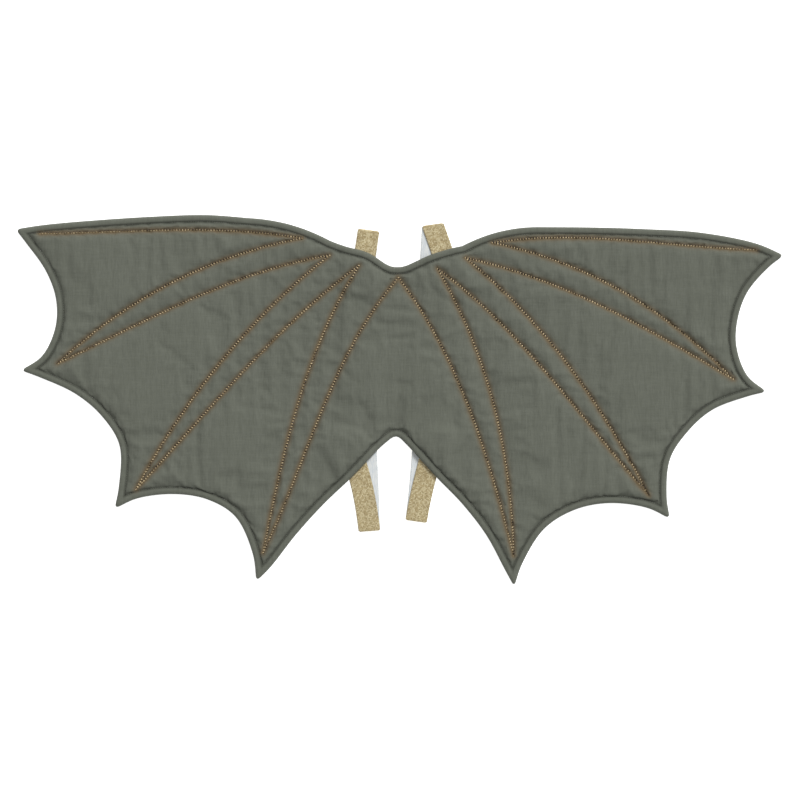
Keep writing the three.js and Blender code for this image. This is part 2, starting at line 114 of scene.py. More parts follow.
wingPanel = {
    "span": 885 * mm,
    "depth": 429 * mm,
    "neckDip": 62 * mm,
    "hemRise": 175.8 * mm,
    "tipRounding": 6.5 * mm,
    "roundings": {"neck": 10 * mm, "hem": 8 * mm, "shoulderLeft": 50 * mm, "shoulderRight": 50 * mm},
    "rimWidth": 8 * mm,
    "rootInset": 18 * mm,
    # shares of half the span and of the depth, down from the shoulder line
    "corners": {
        "neck": (0, None),
        "shoulderLeft": (-0.284, 0.015),
        "tip1Left": (-1.002, 0.04),
        "tip2Left": (-0.988, 0.419),
        "tip3Left": (-0.744, 0.79),
        "tip4Left": (-0.375, 0.985),
        "hem": (-0.011, None),
        "tip4Right": (0.296, 1.0),
        "tip3Right": (0.701, 0.817),
        "tip2Right": (0.953, 0.476),
        "tip1Right": (0.998, 0.11),
        "shoulderRight": (0.259, 0.031),
    },
    # how far an edge sags inward at these places along it, as shares of its chord
    "sagPlaces": (0.1, 0.3, 0.5, 0.7, 0.9),
    "sags": {
        "neck": (0.019, -0.007, 0.02, 0.028, 0.012),
        "shoulderLeft": (-0.006, -0.028, -0.029, -0.023, -0.012),
        "tip1Left": (0.071, 0.202, 0.267, 0.257, 0.156),
        "tip2Left": (0.072, 0.192, 0.248, 0.238, 0.1),
        "tip3Left": (0.124, 0.256, 0.318, 0.3, 0.144),
        "tip4Left": (-0.002, 0.017, 0.022, 0.013, 0.012),
        "hem": (0.012, 0.028, 0.05, 0.049, 0.016),
        "tip4Right": (0.108, 0.243, 0.273, 0.231, 0.114),
        "tip3Right": (0.101, 0.226, 0.242, 0.203, 0.08),
        "tip2Right": (0.156, 0.26, 0.276, 0.231, 0.1),
        "tip1Right": (-0.031, -0.049, -0.041, -0.026, -0.007),
        "shoulderRight": (0.014, 0.046, 0.016, -0.004, -0.001),
    },
    # roots of the finger seams: share of the way from neck to shoulder, shares of rootInset below
    "roots": {
        "middle": ("shoulderLeft", 0.02, 0.68),
        "rootALeft": ("shoulderLeft", 0.9, 0.88),
        "rootBLeft": ("shoulderLeft", 0.65, 1.19),
        "rootCLeft": ("shoulderLeft", 0.38, 1.03),
        "rootARight": ("shoulderRight", 0.92, 0.88),
        "rootBRight": ("shoulderRight", 0.65, 1.12),
        "rootCRight": ("shoulderRight", 0.37, 1.06),
    },
    "seamEnds": {
        "end1Left": (-0.938, 0.052),
        "end2Left": (-0.891, 0.4),
        "end3Left": (-0.688, 0.738),
        "end4Left": (-0.358, 0.908),
        "end1Right": (0.925, 0.096),
        "end2Right": (0.865, 0.443),
        "end3Right": (0.645, 0.753),
        "end4Right": (0.294, 0.916),
    },
    # root, end, and on each wing the bows at a third and two thirds of the way, as shares of the chord
    "seams": [
        ("rootA", "end1", {"Left": (0.051, 0.008), "Right": (0.062, 0.0)}),
        ("rootA", "end2", {"Left": (0.098, 0.095), "Right": (0.109, 0.099)}),
        ("rootB", "end2", {"Left": (0.072, 0.02), "Right": (0.073, 0.037)}),
        ("rootB", "end3", {"Left": (0.072, 0.066), "Right": (0.081, 0.059)}),
        ("rootC", "end3", {"Left": (0.052, 0.01), "Right": (0.064, 0.008)}),
        ("rootC", "end4", {"Left": (0.083, 0.041), "Right": (0.094, 0.08)}),
        ("middle", "end4", {"Left": (0.086, 0.001), "Right": (0.086, 0.049)}),
    ],
}


def panelPoint(name):
    shares = {**wingPanel["corners"], **wingPanel["seamEnds"]}[name]
    x = shares[0] * wingPanel["span"] / 2
    if name == "neck":
        return np.array([x, -wingPanel["neckDip"]])
    if name == "hem":
        return np.array([x, wingPanel["hemRise"] - wingPanel["depth"]])
    return np.array([x, -shares[1] * wingPanel["depth"]])


def throughPoints(points, samples=60):
    # smooth line through a few points, drawn tighter where they lie close
    p = np.array(points)
    p = np.vstack([2 * p[0] - p[1], p, 2 * p[-1] - p[-2]])
    t = np.linspace(0, 1, samples, endpoint=False)[:, None]
    line = []
    for a, b, c, d in zip(p, p[1:], p[2:], p[3:]):
        ab, bc, cd = (np.linalg.norm(v) ** 0.5 for v in (b - a, c - b, d - c))
        leaving = ((b - a) / ab - (c - a) / (ab + bc) + (c - b) / bc) * bc
        arriving = ((c - b) / bc - (d - b) / (bc + cd) + (d - c) / cd) * bc
        line.append(
            b + leaving * t
            + (3 * (c - b) - 2 * leaving - arriving) * t**2
            + (2 * (b - c) + leaving + arriving) * t**3
        )
    return np.vstack([*line, p[-2:-1]])


def bezierLine(a, b, c, d, samples=200):
    t = np.linspace(0, 1, samples)[:, None]
    return a * (1 - t) ** 3 + 3 * b * t * (1 - t) ** 2 + 3 * c * t**2 * (1 - t) + d * t**3


def edgeLine(start, end, sags):
    a, b = panelPoint(start), panelPoint(end)
    chord = b - a
    inward = np.array([-chord[1], chord[0]])
    between = [a + chord * place + inward * sag for place, sag in zip(wingPanel["sagPlaces"], sags)]
    return throughPoints([a, *between, b])


def panelOutline(step):
    # anticlockwise, each corner rounded between the trimmed ends of its two edges
    names = list(wingPanel["sags"])
    roundings = [wingPanel["roundings"].get(name, wingPanel["tipRounding"]) for name in names]
    edges = []
    for i, name in enumerate(names):
        after = (i + 1) % len(names)
        whole = edgeLine(name, names[after], wingPanel["sags"][name])
        edges.append(evenly(whole, step, roundings[i], roundings[after]))
    line = []
    for i, edge in enumerate(edges):
        before, corner, after = edges[i - 1][-1], panelPoint(names[i]), edge[0]
        t = np.linspace(0, 1, 60)[:, None]
        turn = before * (1 - t) ** 2 + 2 * corner * t * (1 - t) + after * t * t
        turnLength = np.linalg.norm(np.diff(turn, axis=0), axis=1).sum()
        line.extend(evenly(turn, min(step, turnLength / 4))[1:-1])
        line.extend(edge)
    return np.array(line)


def seamLine(root, end, bows, side):
    turn = -1 if side == "Left" else 1
    shoulder, along, below = wingPanel["roots"][root if root == "middle" else root + side]
    neck = panelPoint("neck")
    start = neck + (panelPoint(shoulder) - neck) * along - np.array([0, below * wingPanel["rootInset"]])
    finish = panelPoint(end + side)
    chord = finish - start
    outward = np.array([-chord[1], chord[0]]) * turn
    bowAtRoot, bowAtEnd = bows[side]
    return bezierLine(
        start, start + chord / 3 + outward * bowAtRoot, start + chord * 2 / 3 + outward * bowAtEnd, finish
    )


# the solids' origin lies under the middle of the whole footprint
rough = panelOutline(12 * mm)
nodeLow, nodeHigh = (np.array(corner)[:2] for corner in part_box("quilted_front"))
toFrame = (nodeLow + nodeHigh) / 2 - (rough.min(axis=0) + rough.max(axis=0)) / 2
outlineStep = 3 * mm
outline = panelOutline(outlineStep) + toFrame
outlineFine = evenly(np.vstack([outline, outline[:1]]), 0.5 * mm)
seamLines = [seamLine(*row, side) + toFrame for side in ("Left", "Right") for row in wingPanel["seams"]]
seamsFine = [evenly(line, 0.5 * mm) for line in seamLines]
outlineTree = treeOf(outlineFine)
seamTrees = [treeOf(line) for line in seamsFine]
print("outline points", len(outline), "seams", len(seamLines))


# arm loops: where their layers lie

armLoops = {
    "width": 25 * mm,
    "thickness": 1.2 * mm,
    "layerGap": 0.6 * mm,
    "spacing": 74 * mm,
    "rise": 46 * mm,
    "drop": 100 * mm,
    "clothGap": 0.3 * mm,
    "drapeMargin": 3 * mm,
    "drapeReach": 18 * mm,
    # share of spacing, share of rise or drop, lean and split in degrees
    "routes": {
        "strap_left": {
            "upperEnd": (-0.61, -0.26, 8, 0),
            "upperFold": (-0.497, 0.929, 8, 0),
            "lowerFold": (-0.485, 1.103, -4, -3),
            "lowerEnd": (-0.8, 0.148, -24, 0),
        },
        "strap_right": {
            "upperEnd": (0.8, -0.26, -20, 0),
            "upperFold": (0.505, 1.067, -8, -12),
            "lowerFold": (0.246, 0.991, 8, 1),
            "lowerEnd": (0.52, 0.108, 14, 0),
        },
    },
}


def loopCorner(route, name, splitSide):
    across, reach, lean, split = armLoops["routes"][route][name]
    if name.startswith("upper"):
        y = reach * armLoops["rise"] - wingPanel["neckDip"]
    else:
        y = wingPanel["hemRise"] - wingPanel["depth"] - reach * armLoops["drop"]
    angle = math.radians(lean + splitSide * split)
    at = np.array([across * armLoops["spacing"], y]) + toFrame
    return at, np.array([math.sin(angle), math.cos(angle)])


def layerLine(route, lower, upper, splitSide, step):
    (a, upA), (b, upB) = loopCorner(route, lower, splitSide), loopCorner(route, upper, splitSide)
    handle = np.linalg.norm(b - a) / 3
    return evenly(bezierLine(a, a + upA * handle, b - upB * handle, b), step)


rearMiddle = armLoops["thickness"] / 2
frontMiddle = rearMiddle + armLoops["thickness"] + armLoops["layerGap"]
overElastic = armLoops["thickness"] / 2 + armLoops["clothGap"]
layerRows = [("lowerFold", "lowerEnd", 1, frontMiddle), ("lowerFold", "upperFold", -1, rearMiddle),
             ("upperEnd", "upperFold", 1, frontMiddle)]
layers = [
    (middle + overElastic, treeOf(layerLine(route, low, up, split, 1 * mm)))
    for route in armLoops["routes"] for low, up, split, middle in layerRows
]
rearTrees = [tree for i, (top, tree) in enumerate(layers) if i % len(layerRows) == 1]


def liftAt(points):
    # how high the elastic underneath holds the cloth up
    lift = np.zeros(len(points))
    for top, tree in layers:
        beyond = nearestOn(tree, points)[0] - armLoops["width"] / 2 - armLoops["drapeMargin"]
        lift = np.maximum(lift, top * (1 - smoothStep(beyond / armLoops["drapeReach"])))
    return lift


# camera, light and floor

studio = {
    "frameWidth": 0.92,  # metres across the picture at the panel
    "cameraHeight": 2.6,
    "pictureCentre": (-0.575 * mm, -213.785 * mm),  # from the middle of the shoulder line
    "sunStrength": 2.6,
    "sunAngle": 22,
    "sunElevation": 42,
    "sunTurn": 32,  # degrees from +Y towards +X
    "worldStrength": 0.48,
    "floorGlow": 0.75,
    "floorHalf": 12,
    "floorDrop": 0.5 * mm,
    "aimHeight": 5 * mm,  # the panel's own height, which the frame is measured at
}


def buildStudio():
    camera = bpy.data.cameras.new("photoCamera")
    camera.sensor_width = 36
    camera.lens = studio["cameraHeight"] * camera.sensor_width / studio["frameWidth"]
    eye = bpy.data.objects.new("photoCamera", camera)
    eye.location = (*(toFrame + studio["pictureCentre"]), studio["cameraHeight"] + studio["aimHeight"])
    scene.collection.objects.link(eye)
    scene.camera = eye

    sun = bpy.data.lights.new("softSun", "SUN")
    sun.energy = studio["sunStrength"]
    sun.angle = math.radians(studio["sunAngle"])
    lamp = bpy.data.objects.new("softSun", sun)
    lamp.rotation_euler = (math.radians(studio["sunElevation"] - 90), 0, math.radians(-studio["sunTurn"]))
    scene.collection.objects.link(lamp)

    world = bpy.data.worlds.new("studio")
    world.use_nodes = True
    world.node_tree.nodes["Background"].inputs["Color"].default_value = (1, 1, 1, 1)
    world.node_tree.nodes["Background"].inputs["Strength"].default_value = studio["worldStrength"]
    scene.world = world
    scene.view_settings.view_transform = "Standard"

    paper = bpy.data.materials.new("floorPaper")
    paper.use_nodes = True
    coat = paper.node_tree.nodes["Principled BSDF"]
    coat.inputs["Base Color"].default_value = (0.9, 0.9, 0.9, 1)
    coat.inputs["Roughness"].default_value = 0.9
    coat.inputs["Emission Color"].default_value = (1, 1, 1, 1)
    coat.inputs["Emission Strength"].default_value = studio["floorGlow"]
    half, low = studio["floorHalf"], -studio["floorDrop"]
    corners = [(-half, -half, low), (half, -half, low), (half, half, low), (-half, half, low)]
    floor = newObject("floor", corners, [(0, 1, 2, 3)], paper)


buildStudio()
print("studio built")


# materials

class shaderKit:
    # a material with short ways to add and join its nodes
    def __init__(self, name):
        self.material = bpy.data.materials.new(name)
        self.material.use_nodes = True
        self.tree = self.material.node_tree
        self.shader = self.tree.nodes["Principled BSDF"]

    def feed(self, socket, value):
        if isinstance(value, bpy.types.NodeSocket):
            self.tree.links.new(value, socket)
        else:
            socket.default_value = value

    def add(self, kind, out=0, settings=None, **inputs):
        made = self.tree.nodes.new(kind)
        for key, value in (settings or {}).items():
            setattr(made, key, value)
        for key, value in inputs.items():
            self.feed(made.inputs[key], value)
        return made.outputs[out]

    def coords(self, scale=(1, 1, 1), turn=(0, 0, 0)):
        at = self.add("ShaderNodeTexCoord", "Object")
        return self.add("ShaderNodeMapping", Vector=at, Scale=scale, Rotation=turn)

    def noise(self, scale, detail=2.0, rough=0.5, turn=(0, 0, 0)):
        return self.add("ShaderNodeTexNoise", "Fac", Vector=self.coords(scale, turn), Scale=1.0,
                        Detail=detail, Roughness=rough)

    def attribute(self, name):
        return self.add("ShaderNodeAttribute", "Fac", {"attribute_name": name})

    def mix(self, factor, first, second, blend="MIX"):
        made = self.tree.nodes.new("ShaderNodeMix")
        made.data_type, made.blend_type, made.clamp_factor = "RGBA", blend, True
        for socket, value in ((made.inputs[0], factor), (made.inputs[6], first), (made.inputs[7], second)):
            self.feed(socket, value)
        return made.outputs[2]

    def math(self, operation, first, second=0.0):
        made = self.tree.nodes.new("ShaderNodeMath")
        made.operation = operation
        self.feed(made.inputs[0], first)
        self.feed(made.inputs[1], second)
        return made.outputs[0]

    def spread(self, value, low, high, start=0.0, end=1.0):
        return self.add("ShaderNodeMapRange", **{"Value": value, "From Min": low, "From Max": high,
                                                 "To Min": start, "To Max": end})

    def bump(self, height, distance, strength=1.0, normal=None):
        made = self.tree.nodes.new("ShaderNodeBump")
        self.feed(made.inputs["Height"], height)
        made.inputs["Distance"].default_value = distance
        made.inputs["Strength"].default_value = strength
        if normal is not None:
            self.feed(made.inputs["Normal"], normal)
        return made.outputs[0]

    def finish(self, colour, roughness, normal=None, **fixed):
        self.feed(self.shader.inputs["Base Color"], colour)
        self.feed(self.shader.inputs["Roughness"], roughness)
        if normal is not None:
            self.feed(self.shader.inputs["Normal"], normal)
        for key, value in fixed.items():
            self.shader.inputs[key].default_value = value
        return self.material


cotton = {
    "base": shade(100, 103, 93),
    "pale": shade(109, 112, 102),
    # painted shade for the groove along the rim's stitching
    "deep": shade(91, 94, 84),
    "grooveShadeColour": shade(50, 52, 44),
    "threadShadow": shade(104, 89, 66),
    "threadPitch": 0.62 * mm,
    # grain of the yarns, in noise cells for each metre
    "warpGrain": (560, 85, 40),
    "weftGrain": (80, 600, 40),
    "patchGrain": (34, 34, 34),
}


def cottonMaterial(name, withSeamShade):
    n = shaderKit(name)
    warp = n.noise(cotton["warpGrain"], 3)
    weft = n.noise(cotton["weftGrain"], 3)
    patch = n.noise(cotton["patchGrain"], 2)
    streak = n.spread(n.math("ADD", warp, n.math("MULTIPLY", weft, 0.45)), 0.47, 0.98)
    colour = n.mix(streak, cotton["deep"], cotton["pale"])
    colour = n.mix(n.spread(patch, 0.3, 0.7, 0.4, 0.65), colour, cotton["base"])
    if withSeamShade:
        # painted shade darkens the groove along the rim's stitching
        colour = n.mix(n.attribute("grooveShade"), colour, cotton["grooveShadeColour"])
        colour = n.mix(n.attribute("threadShade"), colour, cotton["threadShadow"])
    waves = 0.314 / cotton["threadPitch"]
    across = n.add("ShaderNodeTexWave", "Fac", {"bands_direction": "X"}, Vector=n.coords(), Scale=waves,
                   **{"Distortion": 0.6, "Detail": 1.0})
    along = n.add("ShaderNodeTexWave", "Fac", {"bands_direction": "Y"}, Vector=n.coords(), Scale=waves,
                  **{"Distortion": 0.6, "Detail": 1.0})
    crease = n.math("ADD", n.noise((210, 32, 60), 2), n.math("MULTIPLY", n.noise((32, 210, 60), 2), 0.5))
    wrinkled = n.bump(crease, 1.1 * mm, 0.6)
    weave = n.bump(n.math("MULTIPLY", across, along), 0.12 * mm, 0.6, wrinkled)
    slub = n.bump(n.math("ADD", warp, weft), 0.3 * mm, 0.5, weave)
    rough = n.spread(patch, 0.3, 0.7, 0.8, 0.92)
    return n.finish(colour, rough, slub,
                    **{"Sheen Weight": 0.1, "Sheen Roughness": 0.4, "Specular IOR Level": 0.25})


goldThread = {
    "bright": shade(196, 179, 142),
    "gold": shade(140, 121, 89),
    "dark": shade(88, 72, 50),
    # near-black for the needle holes and for the painted shade on the seams' shaded side
    "holeShade": shade(40, 32, 24),
}


def threadMaterial(name, bright, middle, dark, metal):
    n = shaderKit(name)
    twist = n.noise((900, 900, 900), 1)
    length = n.noise((120, 120, 120), 2)
    colour = n.mix(n.spread(twist, 0.4, 0.62), middle, bright)
    colour = n.mix(n.spread(length, 0.5, 0.7, 0.0, 0.7), colour, dark)
    return n.finish(colour, n.spread(twist, 0.3, 0.7, 0.3, 0.5), n.bump(twist, 0.2 * mm, 0.6),
                    **{"Metallic": metal, "Sheen Weight": 0.05})


lurex = {
    "gold": shade(190, 172, 128),
    "bright": shade(228, 216, 176),
    "dark": shade(148, 130, 92),
    # painted shade for the rib valleys and the tape's edges
    "valleyShade": shade(138, 122, 88),
    "pale": shade(222, 224, 221),
    "shadow": shade(202, 208, 212),
}


def lurexMaterial():
    n = shaderKit("goldLurex")
    # glitter in columns: one cell for each rib and each turn of the yarn along it
    rib = n.math("FLOOR", n.attribute("ribPlace"))
    turn = n.math("FLOOR", n.math("MULTIPLY", n.attribute("alongTape"), 1 / (1.15 * mm)))
    cell = n.add("ShaderNodeCombineXYZ", X=rib, Y=turn)
    glint = n.add("ShaderNodeTexWhiteNoise", "Value", {"noise_dimensions": "3D"}, Vector=cell)
    patch = n.noise((120, 70, 100), 2)
    colour = n.mix(n.spread(glint, 0.35, 0.95), lurex["gold"], lurex["bright"])
    colour = n.mix(n.spread(glint, 0.3, 0.0, 0.0, 0.85), colour, lurex["dark"])
    colour = n.mix(n.spread(patch, 0.45, 0.75, 0.0, 0.35), colour, lurex["dark"])
    # painted shade in the rib valleys and along the tape's edges
    colour = n.mix(n.math("MULTIPLY", n.attribute("ribShade"), 0.5), colour, lurex["valleyShade"])
    colour = n.mix(n.math("MULTIPLY", n.attribute("edgeShade"), 0.5), colour, lurex["valleyShade"])
    fine = n.noise((1700, 1700, 1700), 2)
    rough = n.spread(glint, 0.0, 1.0, 0.55, 0.38)
    return n.finish(colour, rough, n.bump(fine, 0.2 * mm, 0.5), **{"Metallic": 0.25})


def innerElasticMaterial():
    n = shaderKit("paleElastic")
    ribs = n.noise((1500, 160, 400), 2)
    colour = n.mix(n.spread(ribs, 0.35, 0.65), lurex["shadow"], lurex["pale"])
    return n.finish(colour, n.spread(ribs, 0.3, 0.7, 0.6, 0.75), n.bump(ribs, 0.15 * mm, 0.5),
                    **{"Sheen Weight": 0.1})


quiltedCotton = cottonMaterial("quiltedCotton", True)
backingCotton = cottonMaterial("backingCotton", False)
goldStitching = threadMaterial("goldThread", goldThread["bright"], goldThread["gold"], goldThread["dark"],
                               0.35)
# thread for the needle holes, which also carries painted shade beside the seams
holeShadeStitching = threadMaterial("threadHoleShade", shade(66, 50, 33), goldThread["holeShade"], shade(36, 28, 19), 0.0)
oliveStitching = threadMaterial("oliveThread", shade(104, 106, 97), shade(90, 92, 84), shade(72, 74, 66), 0.0)
goldLurex = lurexMaterial()
paleElastic = innerElasticMaterial()
print("materials built")


# flat nets of triangles

def isInside(points):
    inside = np.zeros(len(points), dtype=bool)
    a, b = outline, np.roll(outline, 1, axis=0)
    for start in range(0, len(points), 4000):
        p = points[start:start + 4000]
        crosses = (a[None, :, 1] > p[:, None, 1]) != (b[None, :, 1] > p[:, None, 1])
        rise = np.where(b[:, 1] == a[:, 1], 1e-12, b[:, 1] - a[:, 1])
        at = a[:, 0] + (p[:, None, 1] - a[:, 1]) * ((b[:, 0] - a[:, 0]) / rise)
        inside[start:start + 4000] = (crosses & (p[:, None, 0] < at)).sum(axis=1) % 2 == 1
    return inside


class pointNet:
    # points kept apart from each other, and the lines between them that triangles follow
    def __init__(self, cell):
        self.cell, self.cells, self.points, self.lines = cell, {}, [], []

    def isFree(self, point, gap):
        reach = int(math.ceil(gap / self.cell))
        cx, cy = int(point[0] // self.cell), int(point[1] // self.cell)
        for i in range(cx - reach, cx + reach + 1):
            for j in range(cy - reach, cy + reach + 1):
                for index in self.cells.get((i, j), ()):
                    other = self.points[index]
                    if (other[0] - point[0]) ** 2 + (other[1] - point[1]) ** 2 < gap * gap:
                        return False
        return True

    def add(self, candidates, gap, joined=False, closed=False):
        indices = []
        for point in candidates:
            if point is None or gap and not self.isFree(point, gap):
                indices.append(None)
                continue
            cell = (int(point[0] // self.cell), int(point[1] // self.cell))
            self.cells.setdefault(cell, []).append(len(self.points))
            indices.append(len(self.points))
            self.points.append((float(point[0]), float(point[1])))
        if joined:
            pairs = zip(indices, indices[1:] + (indices[:1] if closed else []))
            self.lines += [(a, b) for a, b in pairs if a is not None and b is not None]

    def triangles(self):
        points = [Vector(p) for p in self.points]
        found = delaunay_2d_cdt(points, self.lines, [], 1, 1e-7)
        flat = np.array([(p.x, p.y) for p in found[0]])
        corners = np.array([f for f in found[2] if len(f) == 3])
        a, b, c = (flat[corners[:, k]] for k in range(3))
        area = (b - a)[:, 0] * (c - a)[:, 1] - (b - a)[:, 1] * (c - a)[:, 0]
        corners[area < 0] = corners[area < 0][:, ::-1]
        corners = corners[np.abs(area) > 1e-12]
        index = {source: i for i, sources in enumerate(found[3]) for source in sources}
        return flat, corners, index


def insetRow(inset):
    # the outline moved inward, without the points that its corners cut off
    row = outline + leftOf(outline, True) * inset
    free = nearestOn(outlineTree, row)[0] >= 0.97 * inset
    return [point if ok else None for point, ok in zip(row, free)]


def hexFill(step, edge):
    low, high = outline.min(axis=0), outline.max(axis=0)
    rise = step * math.sin(math.pi / 3)
    rows = []
    for i in range(int((high[1] - low[1]) / rise) + 1):
        x = np.arange(low[0] + (i % 2) * step / 2, high[0], step)
        rows.append(np.column_stack([x, np.full(len(x), low[1] + i * rise)]))
    points = np.vstack(rows)
    points = points[isInside(points)]
    return points[nearestOn(outlineTree, points)[0] > edge]


# quilted front

quiltedFront = {
    "rimRows": (0.5, 1.2, 2.2, 3.6, 5.2, 6.4, 7.3, 8.0, 8.7, 9.6, 11.0, 13.4),  # mm in from the edge
    "seamRows": (0.0, 0.9, 1.8, 2.7, 4.2, 6.5),  # mm to each side of a seam
    "alongStep": 3 * mm,
    "fillStep": 3.3 * mm,
    "underStep": 12 * mm,
    "edgeHeight": 0.5 * mm,
    "rimHeight": 3.1 * mm,
    "rimFullness": 3.2,  # how flat the rim's crest is
    "seamHeight": 1.5 * mm,
    "loft": 5.5 * mm,
    "loftReach": 4.4 * mm,  # how soon the wadding fills out beside a seam
    "rimReach": 4.0 * mm,  # and beside the rim's stitching
    # width and strength of the painted shade in the rim's stitching groove
    "grooveReach": 1.5 * mm,
    "grooveShadeDepth": 0.72,
    "threadReach": 3.4 * mm,
    "pressMark": 0.3 * mm,  # ridges over the edges of the elastic underneath
    "pressReach": 1.6 * mm,
    # spacing, reach and height of the puckers
    "puckersAtTop": (13 * mm, 26 * mm, 1.1 * mm),
    "puckersAtRim": (11 * mm, 15 * mm, 0.6 * mm),
    "puckersAtSeams": (11 * mm, 15 * mm, 0.55 * mm),
    "topBand": 60 * mm,  # how far below the highest point the top puckers go
    "swellReach": 9 * mm,
    # unevenness of the wadding: noise cells for each metre across and up, place, height in mm
    "swells": ((14, 14, 3.0, 0.7), (45, 45, 9.0, 0.2), (85, 15, 5.0, 0.9), (15, 85, 7.0, 0.3)),
    "floorHeight": 1.5 * mm,  # back cloth and the gap over it
    "settleFrames": 20,
    "settleCap": 1.1 * mm,
    "pressure": 2.0,
    "excess": 0.02,
    "seed": 11,
}


def frontNet():
    q = quiltedFront
    net = pointNet(4 * mm)
    net.add(outline, 0, True, True)
    for inset in q["rimRows"]:
        net.add(insetRow(inset * mm), 0.45 * mm, True, True)
    clear = (q["rimRows"][-1] - 1) * mm
    for offset in q["seamRows"]:
        for line in seamLines:
            row = evenly(line, q["alongStep"])
            for side in ((1, -1) if offset else (0,)):
                beside = row + leftOf(row) * side * offset * mm
                free = nearestOn(outlineTree, beside)[0] > clear
                net.add([p if ok else None for p, ok in zip(beside, free)], 0.7 * mm, offset == 0)
    net.add(hexFill(q["fillStep"], clear + 1 * mm), 0.72 * q["fillStep"])
    return net.triangles()


def puckers(path, tree, points, spacing, reach, height, seed, where=None):
    # short ridges that run away from a stitched line on both sides
    dice = random.Random(seed)
    away, index = nearestOn(tree, points)
    step = np.linalg.norm(path[1] - path[0])
    along = index * step
    left = leftOf(path)[index]
    side = np.sign(((points - path[index]) * left).sum(axis=1))
    total = np.zeros(len(points))
    for sign in (-1, 1):
        at = 0.0
        while at < len(path) * step:
            at += spacing * dice.uniform(0.6, 1.5)
            wide = spacing * dice.uniform(0.24, 0.4)
            tall = height * dice.uniform(-0.6, 1.0)
            far = reach * dice.uniform(0.5, 1.25)
            lean = dice.uniform(-0.25, 0.25)
            near = (side == sign) & (np.abs(along - at - lean * away) < 3 * wide) & (away < 1.6 * far)
            if where is not None and not where(path[min(int(at / step), len(path) - 1)]):
                continue
            ridge = np.exp(-(((along - at - lean * away) / wide) ** 2))
            fade = smoothStep(away / (2 * mm)) * (1 - smoothStep(away / (1.6 * far)))
            total += np.where(near, tall * ridge * fade, 0)
    return total


def frontHeights(points):
    q = quiltedFront
    fromEdge = nearestOn(outlineTree, points)[0]
    fromSeams = np.array([nearestOn(tree, points)[0] for tree in seamTrees])
    fromSeam = fromSeams.min(axis=0)
    rim = wingPanel["rimWidth"]
    share = np.clip(fromEdge / rim, 0, 1)
    base = q["edgeHeight"] + (q["seamHeight"] - q["edgeHeight"]) * share
    roll = base + (q["rimHeight"] - base) * (1 - np.abs(2 * share - 1) ** q["rimFullness"])
    besideRim = 1 - np.exp(-np.maximum(fromEdge - rim, 0) / q["rimReach"])
    puff = np.minimum(besideRim, 1 - np.exp(-fromSeam / q["loftReach"]))
    panel = q["seamHeight"] + (q["loft"] - q["seamHeight"]) * puff
    height = np.where(fromEdge < rim, roll, panel)
    return height, fromEdge, fromSeam


def settled(flat, heights, corners, held):
    # lets the cloth find its own small folds between the seams that hold it
    q = quiltedFront
    piece = newObject("settling", np.column_stack([flat, heights]), corners)
    piece.vertex_groups.new(name="held").add([int(i) for i in np.flatnonzero(held)], 1.0, "REPLACE")
    cloth = piece.modifiers.new("settle", "CLOTH")
    settings = cloth.settings
    settings.quality = 5
    settings.mass = 0.12
    settings.tension_stiffness = settings.compression_stiffness = 12
    settings.shear_stiffness = 6
    settings.bending_stiffness = 0.4
    settings.tension_damping = settings.compression_damping = 6
    settings.vertex_group_mass = "held"
    settings.pin_stiffness = 1.0
    settings.effector_weights.gravity = 0
    settings.use_pressure = True
    settings.uniform_pressure_force = q["pressure"]
    settings.shrink_min = -q["excess"]
    cloth.collision_settings.use_collision = False
    cloth.collision_settings.use_self_collision = False
    cloth.point_cache.frame_start, cloth.point_cache.frame_end = 1, q["settleFrames"]
    for number in range(1, q["settleFrames"] + 1):
        scene.frame_set(number)
    after = piece.evaluated_get(bpy.context.evaluated_depsgraph_get()).data
    moved = np.empty(len(after.vertices) * 3)
    after.vertices.foreach_get("co", moved)
    moved = moved.reshape(-1, 3) - np.column_stack([flat, heights])
    scene.frame_set(1)
    bpy.data.objects.remove(piece)
    size = np.linalg.norm(moved, axis=1)
    print("settled cloth moved", round(float(np.median(size)) * 1000, 2), "mm, most",
          round(float(size.max()) * 1000, 2))
    return moved * np.minimum(1, q["settleCap"] / np.maximum(size, 1e-9))[:, None]


